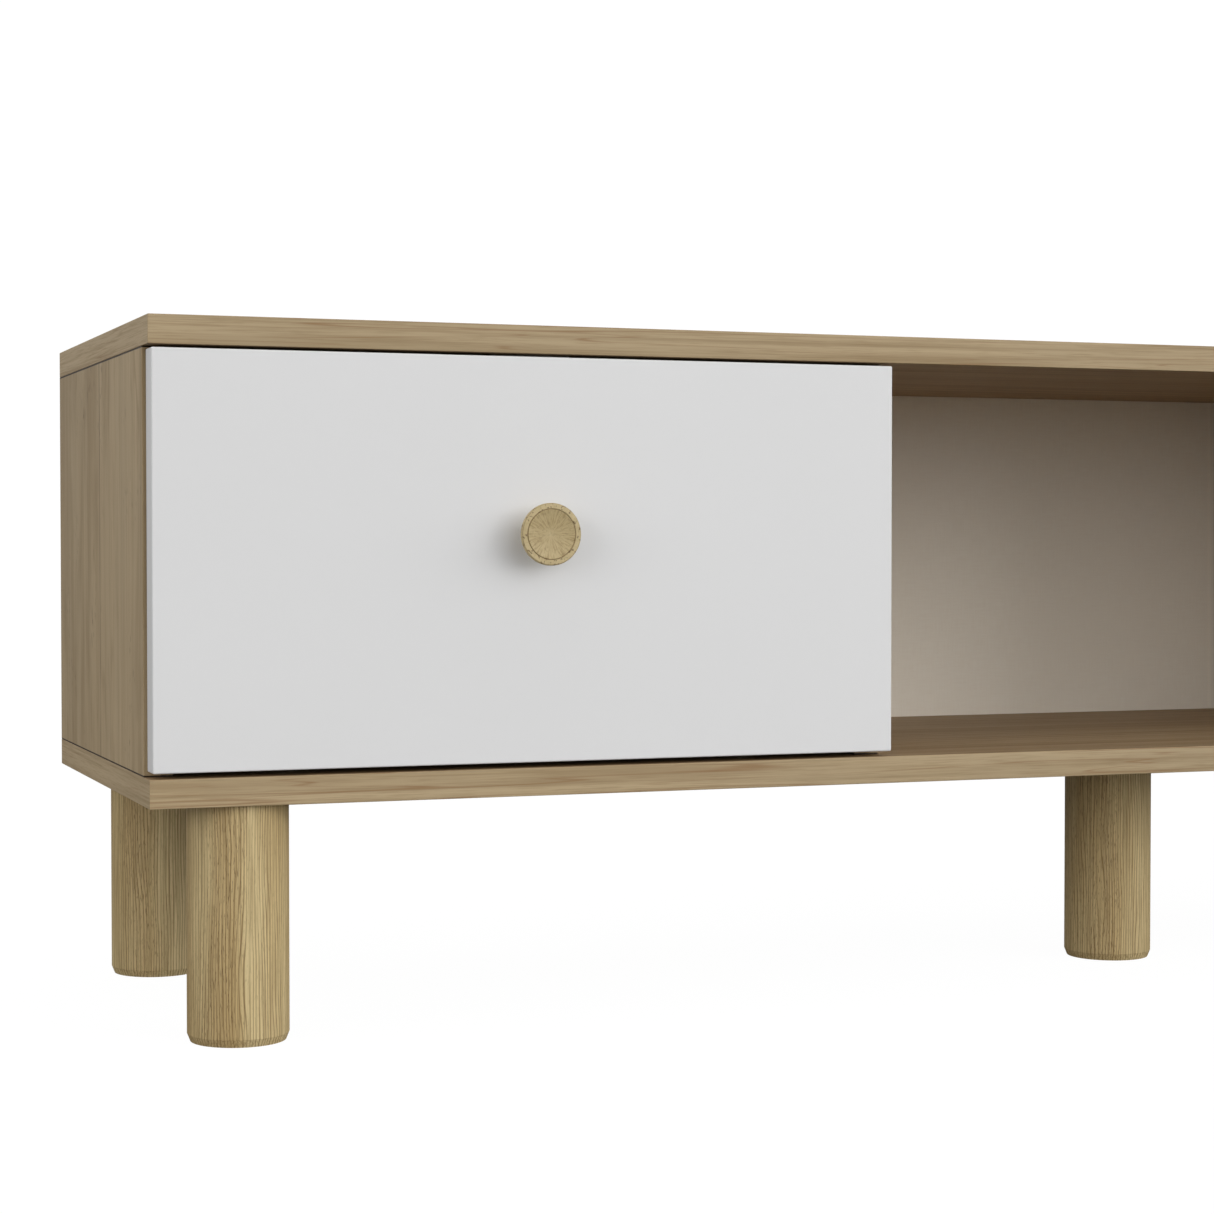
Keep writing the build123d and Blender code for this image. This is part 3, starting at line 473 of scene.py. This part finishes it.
def back_paper(name):
    """Paper-faced hardboard: off-white with a very faint woven print."""
    g = Graph(name)
    weave_x = g.noise(g.stretched((900, 60, 60)), 1, 0.5)
    weave_z = g.noise(g.stretched((60, 60, 900)), 1, 0.5)
    weave = g.math("MULTIPLY", g.math("ADD", weave_x, weave_z), 0.5)
    cloud = g.noise(g.stretched(6), 2, 0.5)
    tone = g.mix(g.ramp(weave, 0.35, 0.65, 0.0, 0.5), srgb(*BACK_LIGHT), srgb(*BACK_DARK))
    tone = g.mix(g.ramp(cloud, 0.4, 0.7, 0.0, 0.4), tone, srgb(*BACK_DARK))
    return g.finish(tone, g.ramp(weave, 0.35, 0.65, 0.70, 0.80), weave, 0.00003, 0.4, specular=0.3)


# ---------------------------------------------------------------- metal, plastic, rubber
def metal(name, colour, roughness):
    """Metal with fine upright brush marks and a faint stain."""
    g = Graph(name)
    brushed = g.noise(g.stretched(rotated(60, 2600, "Z")), 2, 0.6)
    stain = g.noise(g.stretched(90), 3, 0.55)
    tone = g.mix(g.ramp(stain, 0.45, 0.8), colour, dimmed(colour, 0.78))
    g.shader.inputs["Metallic"].default_value = 1.0
    gloss = g.ramp(brushed, 0.25, 0.75, roughness - 0.06, roughness + 0.08)
    return g.finish(tone, gloss, brushed, 0.00002, 0.4)


def moulded(name, colour, roughness, scale=1400):
    """Plastic, rubber, ferrite or small wood with a fine spark texture and a faint cloud."""
    g = Graph(name)
    spark = g.noise(g.stretched(scale), 2, 0.5)
    cloud = g.noise(g.stretched(70), 2, 0.5)
    tone = g.mix(g.ramp(cloud, 0.35, 0.75), colour, dimmed(colour, 0.86))
    return g.finish(tone, g.ramp(spark, 0.3, 0.7, roughness - 0.05, roughness + 0.05), spark, 0.00003, 0.35)


# ---------------------------------------------------------------- which node wears what
def wear(node, material):
    mesh = nodes[node].data
    mesh.materials.clear()
    mesh.materials.append(material)


def dress():
    """Each panel and leg takes its own shift into the noise, so no two show the same grain."""
    wear("top_panel", shelf_laminate("laminate_top", (1.7, 0.3, 0.9)))
    wear("bottom_panel", shelf_laminate("laminate_bottom", (8.2, 4.1, 2.6)))
    for index, side in enumerate(("left", "right")):
        for part, start in (("side_panel", 0), ("divider", 5)):
            node = side + "_" + part
            shift = (start + index * 2.3, 1.1 + index, 0.4)
            wear(node, upright_laminate("laminate_" + node, node, shift))
        centre = (knob_centre.x if side == "left" else -knob_centre.x, knob_centre.y, knob_centre.z)
        wear(side + "_knob", knob_wood(side + "_knob_wood", centre))
    for index, leg in enumerate(("front_left", "front_right", "back_left", "back_right", "centre")):
        low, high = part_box(leg + "_leg")
        shift = (index * 0.37, index * 0.21, index * 0.83)
        wear(leg + "_leg", leg_oak(leg + "_oak", (low + high) / 2, shift))
    by_slot = {
        "white_door": white_paint("white_paint"),
        "back_board": back_paper("back_paper"),
        "beech": moulded("beech_dowel", srgb(*BEECH), 0.6, 700),
        "bright_steel": metal("zinc_plated_steel", ZINC_PLATED, 0.34),
        "nickel_plate": metal("nickel_plate", NICKEL_PLATED, 0.26),
        "zinc_alloy": metal("die_cast_zinc", DIE_CAST_ZINC, 0.45),
        "white_plastic": moulded("white_plastic", srgb(*WHITE_PLASTIC), 0.42),
        "clear_rubber": moulded("soft_rubber", srgb(*SOFT_RUBBER), 0.55),
        "dark_magnet": moulded("ferrite", srgb(*FERRITE), 0.5),
    }
    for part in frame["record"]["subparts"]:
        if part["material_slot"] in by_slot:
            wear(part["node"], by_slot[part["material_slot"]])


add_camera()
add_floor()
add_lights()
dress()
